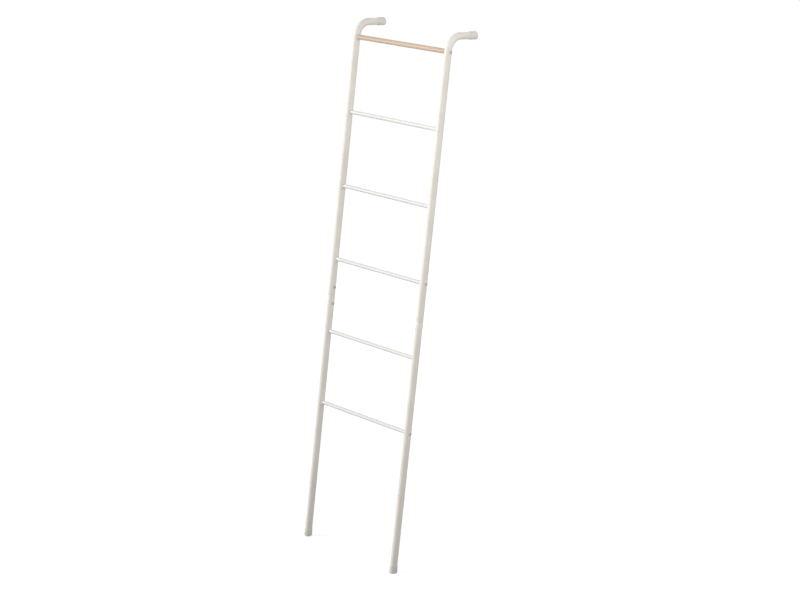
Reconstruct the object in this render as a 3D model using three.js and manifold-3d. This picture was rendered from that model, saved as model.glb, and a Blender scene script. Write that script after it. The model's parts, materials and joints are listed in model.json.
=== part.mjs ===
// A leaning ladder-style coat rack. Two tubular side rails lean back and bend over at the top into short
// hooks that meet a wall. A round wooden bar and five thin tubular rungs join them.
// Each side rail is two tubes in line, carried over an inner sleeve at mid height and held by two screws.
// Millimetres. +Z is up, +Y points at the wall, and X runs along the rungs.
// The origin is on the floor, midway between the rails and midway between the feet's front and the wall.
import * as THREE from 'three';
import { mergeVertices } from 'three/addons/utils/BufferGeometryUtils.js';
import Module from 'manifold-3d';

const { degToRad } = THREE.MathUtils;

// Overall form
const OVERALL_HEIGHT = 1600; // floor to the top of the hooks
const RAIL_SPREAD = 420; // outside of one rail to the outside of the other
const LEAN_ANGLE = degToRad(7.9); // rails from the vertical, back towards the wall

// Side rails
const RAIL_DIAMETER = 22;
const RAIL_WALL = 1.2;
const BEND_RADIUS = 45; // of the centre line, where the rail bends over into its hook
const HOOK_REACH = 103; // from the line of the leaning rail to the wall, at the height of the hooks
const HOOK_DROP = degToRad(4); // slope of the hooks below the horizontal

// Wooden bar and rungs
const BAR_DROP = 52; // top of the hooks down to the axis of the wooden bar
const BAR_DIAMETER = 15;
const RUNG_COUNT = 5;
const RUNG_PITCH = 226; // along the rails, from bar to rung and from rung to rung
const RUNG_DIAMETER = 12;
const RUNG_WALL = 1;
const BOLTED_RUNGS = [3, 5]; // counted from the top; the others are held in their holes by the rails

// Joint between the lower and the upper half of a rail, midway between two rungs
const RUNG_COUNT_ABOVE_JOINT = 3;
const SLEEVE_LENGTH = 110;
const SLEEVE_WALL = 1.5;
const JOINT_SCREW_OFFSET = 25.5; // from the seam to each screw, along the rail

// Screws: button heads with a hexagon socket
const SCREW_DIAMETER = 5;
const SCREW_HEAD_DIAMETER = 9.5;
const SCREW_HEAD_HEIGHT = 2.75;
const SCREW_HEAD_RIM = 0.6; // straight edge of the head below its dome
const SCREW_TIP_CHAMFER = 0.6;
const SOCKET_ACROSS_FLATS = 3;
const SOCKET_DEPTH = 1.6;
const JOINT_SCREW_LENGTH = 10;
const RUNG_SCREW_LENGTH = 16;
const BAR_SCREW_LENGTH = 40;

// What the screws thread into
const NUT_ACROSS_FLATS = 8;
const NUT_HEIGHT = 4;
const PLUG_LENGTH = 16; // threaded plug in the end of a bolted rung
const INSERT_DIAMETER = 8; // threaded insert in the end of the wooden bar
const INSERT_LENGTH = 14;
const INSERT_RECESS = 1; // insert below the end of the bar
const INSERT_HOLE_DEPTH = 20;
const INSERT_BARBS = 3;
const BARB_DEPTH = 0.5;

// End caps of the rails
const CAP_WALL = 0.8;
const CAP_SOLE = 3; // thickness under the end of the tube
const CAP_EDGE = 0.8; // chamfer round the sole
const CAP_RIM_EDGE = 0.4; // chamfer round the open rim
const FOOT_CAP_HEIGHT = 21;
const WALL_CAP_HEIGHT = 26;

// Clearances
const FIT_GAP = 0.3; // between a piece and its seat
const THREAD_GAP = 0.3; // radial, between a screw and the thread or hole round it
const DRILL_OVERSHOOT = 2; // a cutter's reach past the surface it starts from

// Facets
const RAIL_SIDES = 32;
const RUNG_SIDES = 24;
const HOLE_SIDES = 16;
const SCREW_SIDES = 16;
const DOME_STEPS = 3;
const BEND_STEPS = 12;
const HEXAGON_SIDES = 6;
const MERGE_DISTANCE = 1e-4;

// Sizes that follow from those above
const railRadius = RAIL_DIAMETER / 2;
const railBore = railRadius - RAIL_WALL;
const railX = RAIL_SPREAD / 2 - railRadius;
const rungRadius = RUNG_DIAMETER / 2;
const barRadius = BAR_DIAMETER / 2;
const screwRadius = SCREW_DIAMETER / 2;
const screwHoleRadius = screwRadius + THREAD_GAP;
const capBore = railRadius + FIT_GAP;
const capRadius = capBore + CAP_WALL;
const headSeat = railRadius + FIT_GAP;
const sleeveRadius = railBore - FIT_GAP;
const sleeveBore = sleeveRadius - SLEEVE_WALL;

// Heights along the leaning rail, from the point where its axis meets the floor
const barU = (OVERALL_HEIGHT - BAR_DROP) / Math.cos(LEAN_ANGLE);
const rungU = (number) => barU - number * RUNG_PITCH;
const seamU = rungU(RUNG_COUNT_ABOVE_JOINT) - RUNG_PITCH / 2;
const topRise = OVERALL_HEIGHT - railRadius; // top of the centre line, in the upright frame
const bendU = (topRise - BEND_RADIUS + BEND_RADIUS * Math.sin(LEAN_ANGLE)) / Math.cos(LEAN_ANGLE);
const bendTurn = Math.PI / 2 - LEAN_ANGLE + HOOK_DROP;

// Where the hook's straight begins, in the leaning frame, and the wall plane in the upright frame
const bendEnd = bendPoint(bendTurn);
const wallY = topRise * Math.tan(LEAN_ANGLE) + HOOK_REACH;
const bendEndY = bendEnd.centre.y * Math.cos(LEAN_ANGLE) + bendEnd.centre.z * Math.sin(LEAN_ANGLE);
const hookStraight = (wallY - bendEndY) / Math.cos(HOOK_DROP);
const footFrontY = -capRadius / Math.cos(LEAN_ANGLE) + CAP_EDGE * Math.sin(LEAN_ANGLE);
const tubeEndInset = CAP_SOLE + FIT_GAP;

const PAINT = { color: 0xeae7e0, roughness: 0.42, metalness: 0 };
const WOOD = { color: 0xd6b792, roughness: 0.6, metalness: 0 };
const ZINC = { color: 0xb4b5b6, roughness: 0.35, metalness: 0.9 };
const BRASS = { color: 0xc0a05a, roughness: 0.4, metalness: 0.9 };
const CAP_RUBBER = { color: 0xdcdbd6, roughness: 0.75, metalness: 0 };

const SIDES = [
  { name: 'left', sign: -1 },
  { name: 'right', sign: 1 },
];

const wasm = await Module();
wasm.setup();

/** The solid inside a closed geometry, ready to be joined or cut. */
function toSolid(geometry) {
  const bare = new THREE.BufferGeometry();
  bare.setAttribute('position', geometry.getAttribute('position'));
  bare.setIndex(geometry.getIndex());
  const merged = mergeVertices(bare, MERGE_DISTANCE);
  return new wasm.Manifold(new wasm.Mesh({
    numProp: 3,
    vertProperties: Float32Array.from(merged.getAttribute('position').array),
    triVerts: Uint32Array.from(merged.getIndex().array),
  }));
}

/** The geometry less every cutter. */
function cut(geometry, cutters) {
  let solid = toSolid(geometry);
  for (const cutter of cutters) {
    solid = solid.subtract(toSolid(cutter));
  }
  const mesh = solid.getMesh();
  const result = new THREE.BufferGeometry();
  result.setAttribute('position', new THREE.Float32BufferAttribute(mesh.vertProperties, mesh.numProp));
  result.setIndex(Array.from(mesh.triVerts));
  return result;
}

/** A named mesh with its own material. */
function piece(name, geometry, finish) {
  geometry.computeVertexNormals();
  const mesh = new THREE.Mesh(geometry, new THREE.MeshStandardMaterial(finish));
  mesh.name = name;
  return mesh;
}

/** A solid of revolution about Z. Its profile holds [radius, height] points, from the base upwards. */
function turned(profile, sides) {
  const points = profile.map(([radius, height]) => new THREE.Vector2(radius, height));
  return new THREE.LatheGeometry(points, sides).rotateX(Math.PI / 2);
}

/** A straight tube about Z, centred on the origin. */
function straightTube(radius, bore, length, sides) {
  const half = length / 2;
  return turned([[bore, -half], [radius, -half], [radius, half], [bore, half], [bore, -half]], sides);
}

/** A round cutter along X, from one x to another, at a height u. */
function drill(radius, fromX, toX, u = 0) {
  const length = Math.abs(toX - fromX);
  const cylinder = new THREE.CylinderGeometry(radius, radius, length, HOLE_SIDES);
  return cylinder.rotateZ(Math.PI / 2).translate((fromX + toX) / 2, 0, u);
}

/** A hexagonal prism along Y, from its width across the flats. */
function hexagonPrism(acrossFlats, length) {
  const cornerRadius = acrossFlats / 2 / Math.cos(Math.PI / HEXAGON_SIDES);
  return new THREE.CylinderGeometry(cornerRadius, cornerRadius, length, HEXAGON_SIDES);
}

/** Centre and direction of the rail's centre line at an angle into its bend, in the leaning frame. */
function bendPoint(turn) {
  return {
    centre: new THREE.Vector3(
      0,
      BEND_RADIUS * (1 - Math.cos(turn)),
      bendU + BEND_RADIUS * Math.sin(turn),
    ),
    along: new THREE.Vector3(0, Math.sin(turn), Math.cos(turn)),
    slope: 0,
  };
}

/** A station on the straight of the rail. The slope tilts the ring to lie in the plane of the floor. */
function straightStation(u, slope = 0) {
  return { centre: new THREE.Vector3(0, 0, u), along: new THREE.Vector3(0, 0, 1), slope };
}

/** Stations of the upper rail, from a height on its straight, round the bend, to near the wall. */
function hookStations(fromU, endInset) {
  const stations = [straightStation(fromU)];
  for (let step = 0; step <= BEND_STEPS; step += 1) {
    stations.push(bendPoint((step / BEND_STEPS) * bendTurn));
  }
  const end = bendPoint(bendTurn);
  end.centre.addScaledVector(end.along, hookStraight - endInset);
  end.slope = Math.tan(HOOK_DROP);
  stations.push(end);
  return stations;
}

/** Points of one ring: X and the in-plane normal span it, and the slope slides it along the tube. */
function ringPoints({ centre, along, slope }, radius) {
  const normal = new THREE.Vector3(0, along.z, -along.y);
  const points = [];
  for (let side = 0; side < RAIL_SIDES; side += 1) {
    const angle = (side / RAIL_SIDES) * 2 * Math.PI;
    const across = radius * Math.cos(angle);
    const offset = radius * Math.sin(angle);
    points.push(new THREE.Vector3(across, 0, 0)
      .add(centre)
      .addScaledVector(normal, offset)
      .addScaledVector(along, offset * slope));
  }
  return points;
}

/** Two triangles for each quad between one ring of vertices and another. */
function joinRings(indices, firstRing, secondRing) {
  for (let side = 0; side < RAIL_SIDES; side += 1) {
    const next = (side + 1) % RAIL_SIDES;
    indices.push(firstRing + side, firstRing + next, secondRing + next);
    indices.push(firstRing + side, secondRing + next, secondRing + side);
  }
}

/** A tube swept through its stations: an outer skin, an inner skin turned round, and two annular ends. */
function sweptTube(stations, radius, bore) {
  const outer = stations.flatMap((station) => ringPoints(station, radius));
  const inner = stations.flatMap((station) => ringPoints(station, bore));
  const innerStart = outer.length;
  const indices = [];
  for (let step = 0; step < stations.length - 1; step += 1) {
    const ring = step * RAIL_SIDES;
    joinRings(indices, ring, ring + RAIL_SIDES);
    joinRings(indices, innerStart + ring + RAIL_SIDES, innerStart + ring);
  }
  joinRings(indices, innerStart, 0);
  joinRings(indices, innerStart - RAIL_SIDES, 2 * innerStart - RAIL_SIDES);
  return new THREE.BufferGeometry().setFromPoints([...outer, ...inner]).setIndex(indices);
}

/** A solid rod swept through its stations, with a fan of triangles over each end. */
function sweptRod(stations, radius) {
  const points = stations.flatMap((station) => ringPoints(station, radius));
  const indices = [];
  for (let step = 0; step < stations.length - 1; step += 1) {
    joinRings(indices, step * RAIL_SIDES, (step + 1) * RAIL_SIDES);
  }
  const last = points.length - RAIL_SIDES;
  for (let side = 1; side < RAIL_SIDES - 1; side += 1) {
    indices.push(0, side + 1, side);
    indices.push(last, last + side, last + side + 1);
  }
  return new THREE.BufferGeometry().setFromPoints(points).setIndex(indices);
}

/** A cap over the end of a rail, open upwards along +Z. The slope mitres its sole and its bore floor. */
function capGeometry(height, slope) {
  const geometry = turned([
    [0, 0],
    [capRadius - CAP_EDGE, 0],
    [capRadius, CAP_EDGE],
    [capRadius, height - CAP_RIM_EDGE],
    [capRadius - CAP_RIM_EDGE, height],
    [capBore, height],
    [capBore, CAP_SOLE],
    [0, CAP_SOLE],
  ], RAIL_SIDES);
  const position = geometry.getAttribute('position');
  const mitreTop = (CAP_SOLE + height) / 2;
  for (let index = 0; index < position.count; index += 1) {
    if (position.getZ(index) < mitreTop) {
      position.setZ(index, position.getZ(index) + slope * position.getY(index));
    }
  }
  return geometry;
}

/** A button-head screw along Z: its head rises from the origin and its shank hangs below. */
function screwGeometry(length) {
  const headRadius = SCREW_HEAD_DIAMETER / 2;
  const domeHeight = SCREW_HEAD_HEIGHT - SCREW_HEAD_RIM;
  const profile = [
    [0, -length],
    [screwRadius - SCREW_TIP_CHAMFER, -length],
    [screwRadius, SCREW_TIP_CHAMFER - length],
    [screwRadius, 0],
    [headRadius, 0],
  ];
  for (let step = 0; step < DOME_STEPS; step += 1) {
    const angle = (step / DOME_STEPS) * (Math.PI / 2);
    profile.push([headRadius * Math.cos(angle), SCREW_HEAD_RIM + domeHeight * Math.sin(angle)]);
  }
  profile.push([0, SCREW_HEAD_HEIGHT]);
  const socketLength = SOCKET_DEPTH + DRILL_OVERSHOOT;
  const socket = hexagonPrism(SOCKET_ACROSS_FLATS, socketLength)
    .rotateX(Math.PI / 2)
    .translate(0, 0, SCREW_HEAD_HEIGHT - SOCKET_DEPTH + socketLength / 2);
  return cut(turned(profile, SCREW_SIDES), [socket]);
}

/** A screw in the wall of a rail: sign is the side of the rail that its head sits on. */
function railScrew(name, length, sign, u) {
  const screw = piece(name, screwGeometry(length), ZINC);
  screw.position.set(sign * headSeat, 0, u);
  screw.rotation.y = sign * Math.PI / 2;
  return screw;
}

/** A hexagon nut with two of its flats along the sleeve's inner wall, on the side of the screw's head. */
function sleeveNut(name, sign, u) {
  const block = hexagonPrism(NUT_ACROSS_FLATS, NUT_HEIGHT).rotateZ(Math.PI / 2);
  const bore = drill(screwHoleRadius, -NUT_HEIGHT, NUT_HEIGHT);
  const seatX = Math.sqrt((sleeveBore - FIT_GAP) ** 2 - (NUT_ACROSS_FLATS / 2) ** 2);
  const nut = piece(name, cut(block, [bore]), ZINC);
  nut.position.set(sign * (seatX - NUT_HEIGHT / 2), 0, u);
  return nut;
}

/** Height of each joint screw, by its name. */
function jointScrews() {
  return [
    { place: 'upper', u: seamU + JOINT_SCREW_OFFSET },
    { place: 'lower', u: seamU - JOINT_SCREW_OFFSET },
  ];
}

/** Cutters for the holes of one rail: rungs and joint screws face the rungs, bar screws face away. */
function railHoles(sign) {
  const past = railRadius + DRILL_OVERSHOOT;
  const holes = [drill(screwHoleRadius, -past, past, barU)];
  for (let number = 1; number <= RUNG_COUNT; number += 1) {
    holes.push(drill(rungRadius + FIT_GAP, 0, -sign * past, rungU(number)));
  }
  for (const number of BOLTED_RUNGS) {
    holes.push(drill(screwHoleRadius, 0, sign * past, rungU(number)));
  }
  for (const { u } of jointScrews()) {
    holes.push(drill(screwHoleRadius, 0, -sign * past, u));
  }
  return holes;
}

/** The inner sleeve that carries the upper tube on the lower one, drilled for the joint screws. */
function jointSleeve(name, sign) {
  const tube = straightTube(sleeveRadius, sleeveBore, SLEEVE_LENGTH, RAIL_SIDES);
  const past = sleeveRadius + DRILL_OVERSHOOT;
  const holes = jointScrews().map(({ u }) => drill(screwHoleRadius, 0, -sign * past, u - seamU));
  const sleeve = piece(name, cut(tube, holes), ZINC);
  sleeve.position.z = seamU;
  return sleeve;
}

/** One whole side: two tubes, their joint, the caps and the screws of the bar and rungs. */
function buildRail({ name, sign }) {
  const rail = new THREE.Group();
  rail.position.x = sign * railX;
  const floorSlope = Math.tan(LEAN_ANGLE);

  const lowerStations = [
    straightStation(tubeEndInset, floorSlope),
    straightStation(seamU - FIT_GAP / 2),
  ];
  const upperStations = hookStations(seamU + FIT_GAP / 2, tubeEndInset);
  const holes = railHoles(sign);
  const lowerTube = cut(sweptTube(lowerStations, railRadius, railBore), holes);
  const upperTube = cut(sweptTube(upperStations, railRadius, railBore), holes);
  rail.add(piece(`${name}_lower_rail`, lowerTube, PAINT));
  rail.add(piece(`${name}_upper_rail`, upperTube, PAINT));

  rail.add(jointSleeve(`${name}_joint_sleeve`, sign));
  for (const { place, u } of jointScrews()) {
    rail.add(sleeveNut(`${name}_joint_nut_${place}`, -sign, u));
    rail.add(railScrew(`${name}_joint_screw_${place}`, JOINT_SCREW_LENGTH, -sign, u));
  }
  rail.add(railScrew(`${name}_bar_screw`, BAR_SCREW_LENGTH, sign, barU));
  for (const number of BOLTED_RUNGS) {
    rail.add(railScrew(`${name}_rung_${number}_screw`, RUNG_SCREW_LENGTH, sign, rungU(number)));
  }

  rail.add(piece(`${name}_foot_cap`, capGeometry(FOOT_CAP_HEIGHT, floorSlope), CAP_RUBBER));
  const wallCap = piece(`${name}_wall_cap`, capGeometry(WALL_CAP_HEIGHT, Math.tan(HOOK_DROP)), CAP_RUBBER);
  wallCap.position.copy(bendEnd.centre).addScaledVector(bendEnd.along, hookStraight);
  wallCap.rotation.x = Math.PI / 2 - HOOK_DROP + LEAN_ANGLE;
  rail.add(wallCap);
  return rail;
}

/** The wooden bar, its ends hollowed to saddle the rails and drilled for the threaded inserts. */
function buildBar() {
  const bar = new THREE.Group();
  bar.position.z = barU;
  const rod = new THREE.CylinderGeometry(barRadius, barRadius, 2 * railX, RAIL_SIDES).rotateZ(Math.PI / 2);
  const saddle = sweptRod(hookStations(seamU, 0), headSeat);
  const endX = railX - headSeat;
  const cutters = [];
  for (const { sign } of SIDES) {
    cutters.push(saddle.clone().translate(sign * railX, 0, -barU));
    cutters.push(drill(INSERT_DIAMETER / 2 + FIT_GAP, sign * (endX - INSERT_HOLE_DEPTH), sign * railX));
  }
  bar.add(piece('wooden_top_bar', cut(rod, cutters), WOOD));

  const insertX = endX - INSERT_RECESS - INSERT_LENGTH / 2;
  for (const { name, sign } of SIDES) {
    const insert = piece(`${name}_bar_insert`, insertGeometry(), BRASS);
    insert.position.x = sign * insertX;
    insert.rotation.y = sign * Math.PI / 2;
    bar.add(insert);
  }
  return bar;
}

/** A threaded insert along Z: a bore inside, and barbs outside that widen towards its outer end. */
function insertGeometry() {
  const radius = INSERT_DIAMETER / 2;
  const half = INSERT_LENGTH / 2;
  const barbLength = INSERT_LENGTH / INSERT_BARBS;
  const profile = [[screwHoleRadius, -half]];
  for (let barb = 0; barb < INSERT_BARBS; barb += 1) {
    profile.push([radius - BARB_DEPTH, barb * barbLength - half]);
    profile.push([radius, (barb + 1) * barbLength - half]);
  }
  profile.push([screwHoleRadius, half]);
  profile.push([screwHoleRadius, -half]);
  return turned(profile, HOLE_SIDES);
}

/** One rung, its ends against the far walls of the rails; a bolted one holds a threaded plug at each end. */
function buildRung(number) {
  const rung = new THREE.Group();
  rung.position.z = rungU(number);
  const endX = railX + Math.sqrt((railBore - FIT_GAP) ** 2 - rungRadius ** 2);
  const rungBore = rungRadius - RUNG_WALL;
  const tube = straightTube(rungRadius, rungBore, 2 * endX, RUNG_SIDES).rotateY(Math.PI / 2);
  rung.add(piece(`rung_${number}`, tube, PAINT));
  if (BOLTED_RUNGS.includes(number)) {
    for (const { name, sign } of SIDES) {
      const plug = straightTube(rungBore - FIT_GAP, screwHoleRadius, PLUG_LENGTH, HOLE_SIDES);
      const mesh = piece(`${name}_rung_${number}_plug`, plug.rotateY(Math.PI / 2), ZINC);
      mesh.position.x = sign * (endX - PLUG_LENGTH / 2);
      rung.add(mesh);
    }
  }
  return rung;
}

/** The whole rack: everything is built upright, then leans back as one. */
function buildRack() {
  const ladder = new THREE.Group();
  ladder.rotation.x = -LEAN_ANGLE;
  ladder.position.y = -(footFrontY + wallY) / 2;
  for (const side of SIDES) {
    ladder.add(buildRail(side));
  }
  ladder.add(buildBar());
  for (let number = 1; number <= RUNG_COUNT; number += 1) {
    ladder.add(buildRung(number));
  }
  const rack = new THREE.Group();
  rack.add(ladder);
  return rack;
}

export default buildRack();
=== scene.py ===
"""Looks of a leaning ladder-style coat rack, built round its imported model.

Metres, with +Z up and +Y towards the wall. Rails, bar, rungs, caps and screws are worked out in
the leaning frame of the side rails, where X runs along the rungs and the third axis runs up along
the rails. Layout.to_world then lays them back into place.
"""
import json
import logging
import math
from dataclasses import dataclass, field
from enum import Enum

import bmesh
import bpy
import numpy as np
from mathutils import Matrix, Vector


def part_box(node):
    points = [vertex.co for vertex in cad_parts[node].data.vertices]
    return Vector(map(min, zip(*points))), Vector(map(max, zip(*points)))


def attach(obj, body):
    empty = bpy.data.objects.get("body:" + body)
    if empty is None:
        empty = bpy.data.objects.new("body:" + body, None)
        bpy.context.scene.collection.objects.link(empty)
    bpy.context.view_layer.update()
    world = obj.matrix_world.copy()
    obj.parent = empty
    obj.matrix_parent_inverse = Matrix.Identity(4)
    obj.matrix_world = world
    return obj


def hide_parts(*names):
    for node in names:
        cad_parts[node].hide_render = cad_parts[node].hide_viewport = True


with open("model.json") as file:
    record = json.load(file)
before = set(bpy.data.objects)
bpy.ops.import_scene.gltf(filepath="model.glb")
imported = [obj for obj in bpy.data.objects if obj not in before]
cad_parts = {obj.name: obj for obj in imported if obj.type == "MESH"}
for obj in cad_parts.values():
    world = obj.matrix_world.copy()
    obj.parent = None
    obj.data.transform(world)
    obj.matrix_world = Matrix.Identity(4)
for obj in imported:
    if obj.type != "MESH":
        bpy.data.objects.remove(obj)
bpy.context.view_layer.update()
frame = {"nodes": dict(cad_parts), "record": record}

log = logging.getLogger("coat_rack")

MM = 0.001
BODY = "root"
WELD_DISTANCE = 1e-6
CREASE_ANGLE = math.radians(38)
PHOTO_WIDTH = 800
SENSOR_WIDTH_MM = 36.0
X_AXIS, Y_AXIS, Z_AXIS = np.eye(3)

Pair = tuple[float, float]
Triple = tuple[float, float, float]
Colour = tuple[int, int, int]
Tones = tuple[tuple[float, Colour], ...]
Settings = tuple[tuple[str, object], ...]
Array = np.ndarray
Socket = bpy.types.NodeSocket


class Side(Enum):
    """The two side rails, by the sign of their X."""

    LEFT = -1
    RIGHT = 1

    @property
    def label(self) -> str:
        """The side's name as the nodes spell it."""
        return self.name.lower()


class Part(Enum):
    """The kinds of piece, each with the name of its material and the record's slot for it."""

    RAIL = ("warm_white_powder_paint", "painted_tube")
    # The rungs are the same paint as the rails. Their copy of it is a little darker and less warm:
    # painted light and shade for how light falls on the level rungs.
    RUNG = ("rung_white_powder_paint", "painted_tube")
    BAR = ("pale_clear_finished_wood", "wooden_bar")
    STEEL = ("zinc_plated_steel", "plated_steel")
    INSERT = ("turned_brass", "insert_brass")
    CAP = ("grey_white_moulded_cap", "cap_rubber")

    def __init__(self, material: str, slot: str) -> None:
        """Keep the material's name and the slot."""
        self.material, self.slot = material, slot


def placed(name: str, data: bpy.types.ID) -> bpy.types.Object:
    """Put a new object into the scene.

    Args:
        name: Its name.
        data: Its mesh, lamp or camera.

    Returns:
        The object.
    """
    made = bpy.data.objects.new(name, data)
    bpy.context.scene.collection.objects.link(made)
    return made


def linear(colour: Colour) -> tuple[float, ...]:
    """Turn an sRGB colour into the linear one that a shader reads.

    c = v / 12.92 up to v = 0.04045, and ((v + 0.055) / 1.055) ** 2.4 above it, with v from 0 to 1.

    Args:
        colour: Red, green and blue, 0 to 255.

    Returns:
        Linear red, green, blue, and an alpha of 1.
    """
    value = np.array(colour) / 255
    scaled = np.where(value <= 0.04045, value / 12.92, ((value + 0.055) / 1.055) ** 2.4)
    return (*scaled.tolist(), 1.0)


def quarter_turn(steps: int) -> Array:
    """Angles from 0 to a right angle, both ends included, in that many steps."""
    return np.linspace(0, math.pi / 2, steps + 1)


def full_turn(sides: int) -> Array:
    """Angles once round, the last one left out, for that many sides."""
    return np.linspace(0, 2 * math.pi, sides, endpoint=False)


def rounded(edge: float, steps: int) -> tuple[Array, Array]:
    """A rounded edge of radius e, as e (1 - sin a) and e (1 - cos a), with a over a right angle."""
    turn = quarter_turn(steps)
    return edge * (1 - np.sin(turn)), edge * (1 - np.cos(turn))


def rings_on_x(x: Array, radius: Array, u: float, sides: int) -> Array:
    """Work out rings round an axis along X: (x, r cos(a), u + r sin(a)), a once round.

    Args:
        x: X of each point, as rings x sides, or of each ring, as rings x 1.
        radius: Radius of each ring.
        u: Height of the axis along the rail.
        sides: Points in a ring.

    Returns:
        The points, as rings x sides x 3.
    """
    angle = full_turn(sides)
    y, rise = radius[:, None] * np.cos(angle), radius[:, None] * np.sin(angle)
    return np.stack(np.broadcast_arrays(x, y, u + rise), axis=-1)


# ---- Surfaces


@dataclass
class Shell:
    """Grids of points that together close one solid piece.

    A grid has rows and columns of points. Each four neighbours make a quad, whose outward side is
    (step along the columns) x (step along the rows).
    """

    points: list[Array] = field(default_factory=list)
    quads: list[Array] = field(default_factory=list)
    count: int = 0

    def add(
        self,
        grid: Array,
        keep: Array | None = None,
        flip: bool = False,
        close_rows: bool = False,
    ) -> "Shell":
        """Add one grid, whose last column joins its first.

        Args:
            grid: Points, as rows x columns x 3.
            keep: True for each quad that stays, as rows - 1 x columns. All stay if it is left out.
            flip: Whether the outward side is the other one.
            close_rows: Whether the last row joins the first.

        Returns:
            This shell.
        """
        rows, columns = grid.shape[:2]
        index = np.arange(rows * columns).reshape(rows, columns) + self.count
        index = np.concatenate([index, index[:, :1]], axis=1)
        if close_rows:
            index = np.concatenate([index, index[:1]], axis=0)
        quads = np.stack([index[:-1, :-1], index[:-1, 1:], index[1:, 1:], index[1:, :-1]], axis=-1)
        quads = quads[keep] if keep is not None else quads.reshape(-1, 4)
        self.quads.append(quads[:, ::-1] if flip else quads)
        self.points.append(grid.reshape(-1, 3))
        self.count += rows * columns
        return self

    def to_object(self, name: str, layout: "Layout") -> bpy.types.Object:
        """Weld the grids into one smooth mesh in the rack's frame, creased at its sharp edges.

        Args:
            name: The object's name.
            layout: The layout, whose leaning frame the points are in.

        Returns:
            The new object, at the origin.
        """
        mesh = bpy.data.meshes.new(name)
        points = layout.to_world(np.concatenate(self.points))
        mesh.from_pydata(points, [], np.concatenate(self.quads))
        welded = bmesh.new()
        welded.from_mesh(mesh)
        bmesh.ops.remove_doubles(welded, verts=welded.verts, dist=WELD_DISTANCE)
        welded.to_mesh(mesh)
        welded.free()
        mesh.shade_smooth()
        mesh.set_sharp_from_angle(angle=CREASE_ANGLE)
        return placed(name, mesh)


@dataclass(frozen=True)
class RailPath:
    """Centre line of a rail, by the distance s along it from the floor: straight, bend, hook."""

    bend_start: float
    bend_radius: float
    bend_turn: float

    @property
    def bend_end(self) -> float:
        """Distance at which the bend ends."""
        return self.bend_start + self.bend_radius * self.bend_turn

    def frames(self, distance: Array) -> tuple[Array, Array, Array]:
        """Work out the line's centre, direction and normal.

        With a the angle turned so far and e the distance past the bend, the centre is
        (0, R (1 - cos a) + e sin a, min(s, bend_start) + R sin a + e cos a), the direction is
        (0, sin a, cos a) and the normal is (0, cos a, -sin a).

        Args:
            distance: Distances along the line, of any shape.

        Returns:
            Centres, directions and normals, each with one more dimension than the distances.
        """
        angle = np.clip((distance - self.bend_start) / self.bend_radius, 0, self.bend_turn)
        past = np.maximum(distance - self.bend_end, 0)
        sin, cos, none = np.sin(angle), np.cos(angle), np.zeros_like(angle)
        y = self.bend_radius * (1 - cos) + past * sin
        z = np.minimum(distance, self.bend_start) + self.bend_radius * sin + past * cos
        return (
            np.stack([none, y, z], axis=-1),
            np.stack([none, sin, cos], axis=-1),
            np.stack([none, cos, -sin], axis=-1),
        )


@dataclass(frozen=True)
class Layout:
    """Sizes that more than one sub-assembly shares, and what follows from them.

    The axes of the rails lean towards the wall, and meet the floor at foot_y.
    """

    foot_y: float
    overall_height: float = 1600 * MM
    rail_spread: float = 420 * MM
    lean: float = math.radians(7.9)
    rail_radius: float = 11 * MM
    rail_wall: float = 1.2 * MM
    bend_radius: float = 45 * MM
    hook_reach: float = 103 * MM
    hook_drop: float = math.radians(4)
    bar_drop: float = 52 * MM
    rung_count: int = 5
    rung_pitch: float = 226 * MM
    rung_radius: float = 6 * MM
    bolted_rungs: tuple[int, ...] = (3, 5)
    upper_rungs: int = 3
    joint_screw_offset: float = 25.5 * MM
    screw_hole_radius: float = 2.8 * MM
    fit_gap: float = 0.3 * MM
    cap_sole: float = 3 * MM

    @property
    def rail_bore(self) -> float:
        """Inner radius of a rail."""
        return self.rail_radius - self.rail_wall

    @property
    def rail_x(self) -> float:
        """Distance of a rail's axis from the middle."""
        return self.rail_spread / 2 - self.rail_radius

    @property
    def head_seat(self) -> float:
        """Distance from a rail's axis to the underside of a screw head, or to the bar's saddle."""
        return self.rail_radius + self.fit_gap

    @property
    def bar_u(self) -> float:
        """Height of the bar along the rail."""
        return (self.overall_height - self.bar_drop) / math.cos(self.lean)

    @property
    def seam_u(self) -> float:
        """Height of the seam between the two halves of a rail."""
        return self.rung_u(self.upper_rungs) - self.rung_pitch / 2

    @property
    def path(self) -> RailPath:
        """Work out the rails' centre line, whose top lies a radius below the overall height.

        Returns:
            The centre line.
        """
        top = self.overall_height - self.rail_radius
        rise = top - self.bend_radius * (1 - math.sin(self.lean))
        turn = math.pi / 2 - self.lean + self.hook_drop
        return RailPath(rise / math.cos(self.lean), self.bend_radius, turn)

    @property
    def wall_s(self) -> float:
        """Work out where the hook meets the wall.

        Returns:
            The distance along the centre line.
        """
        centre = self.path.frames(np.array(self.path.bend_end))[0]
        bend_end_y = centre[1] * math.cos(self.lean) + centre[2] * math.sin(self.lean)
        wall_y = (self.overall_height - self.rail_radius) * math.tan(self.lean) + self.hook_reach
        return self.path.bend_end + (wall_y - bend_end_y) / math.cos(self.hook_drop)

    def rung_u(self, number: int) -> float:
        """Height of a rung along the rail, counted from the top."""
        return self.bar_u - number * self.rung_pitch

    def to_world(self, points: Array) -> Array:
        """Lay back: y' = y cos(lean) + z sin(lean) + foot_y, and z' = z cos(lean) - y sin(lean).

        Args:
            points: Points in the leaning frame, with the coordinates in the last dimension.

        Returns:
            The same points in the rack's frame.
        """
        x, y, z = np.moveaxis(points, -1, 0)
        cos, sin = math.cos(self.lean), math.sin(self.lean)
        return np.stack([x, y * cos + z * sin + self.foot_y, z * cos - y * sin], axis=-1)


# ---- Finishes

WHITE = (1.0, 1.0, 1.0, 1.0)
NOISE_MIDDLE = (0.25, 0.75)


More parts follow.
